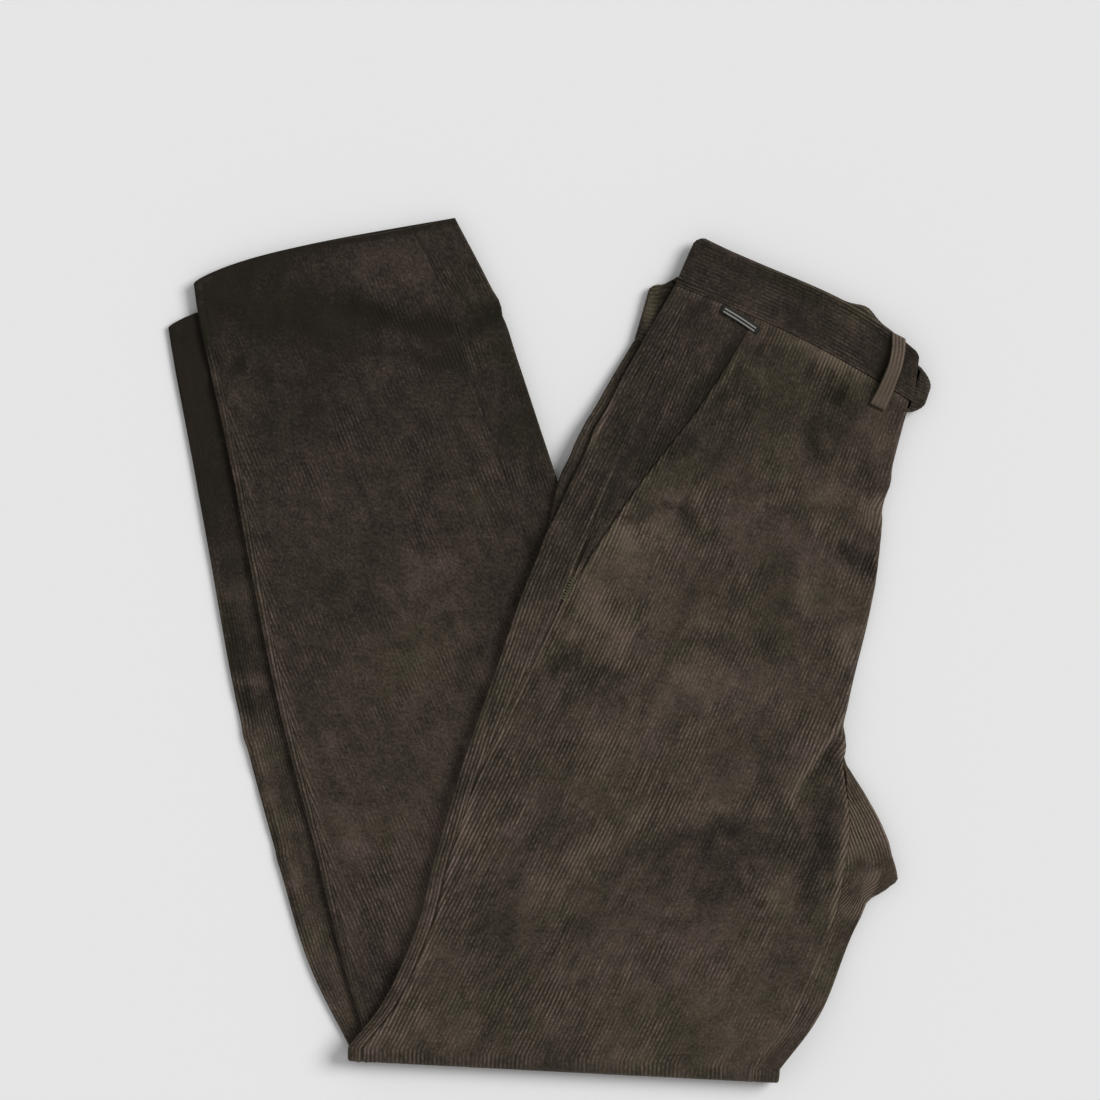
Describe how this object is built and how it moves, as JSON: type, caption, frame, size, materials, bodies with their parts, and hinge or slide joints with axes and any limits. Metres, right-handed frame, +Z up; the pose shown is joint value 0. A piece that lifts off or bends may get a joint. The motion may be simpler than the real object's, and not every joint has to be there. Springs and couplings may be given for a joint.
{
  "type": "corduroy trousers, folded flat",
  "caption": "Fine-wale corduroy trousers lying folded: lengthwise with the backs inside, then across the knees with the lower legs tucked underneath.",
  "frame": {"origin": "bottom centre of the folded garment, on the surface it lies on", "axes": "+Z up, +Y towards the waistband, +X towards the fly side"},
  "size_m": [0.5134, 0.5778, 0.0219],
  "materials": {
    "corduroy": "fine-wale cotton corduroy, matt pile with a worn nap",
    "waistband": "the same corduroy with its wales along the band",
    "tape": "plain woven tape with two pale bars"
  },
  "bodies": {
    "root": {"right_front": "corduroy", "right_back": "corduroy", "right_pocket_facing": "corduroy", "right_waistband": "waistband", "left_front": "corduroy", "left_back": "corduroy", "left_pocket_facing": "corduroy", "left_waistband": "waistband", "hidden_layers": "corduroy", "belt_loop_right": "waistband", "belt_loop_left": "waistband", "pocket_tab": "tape"}
  },
  "joints": []
}
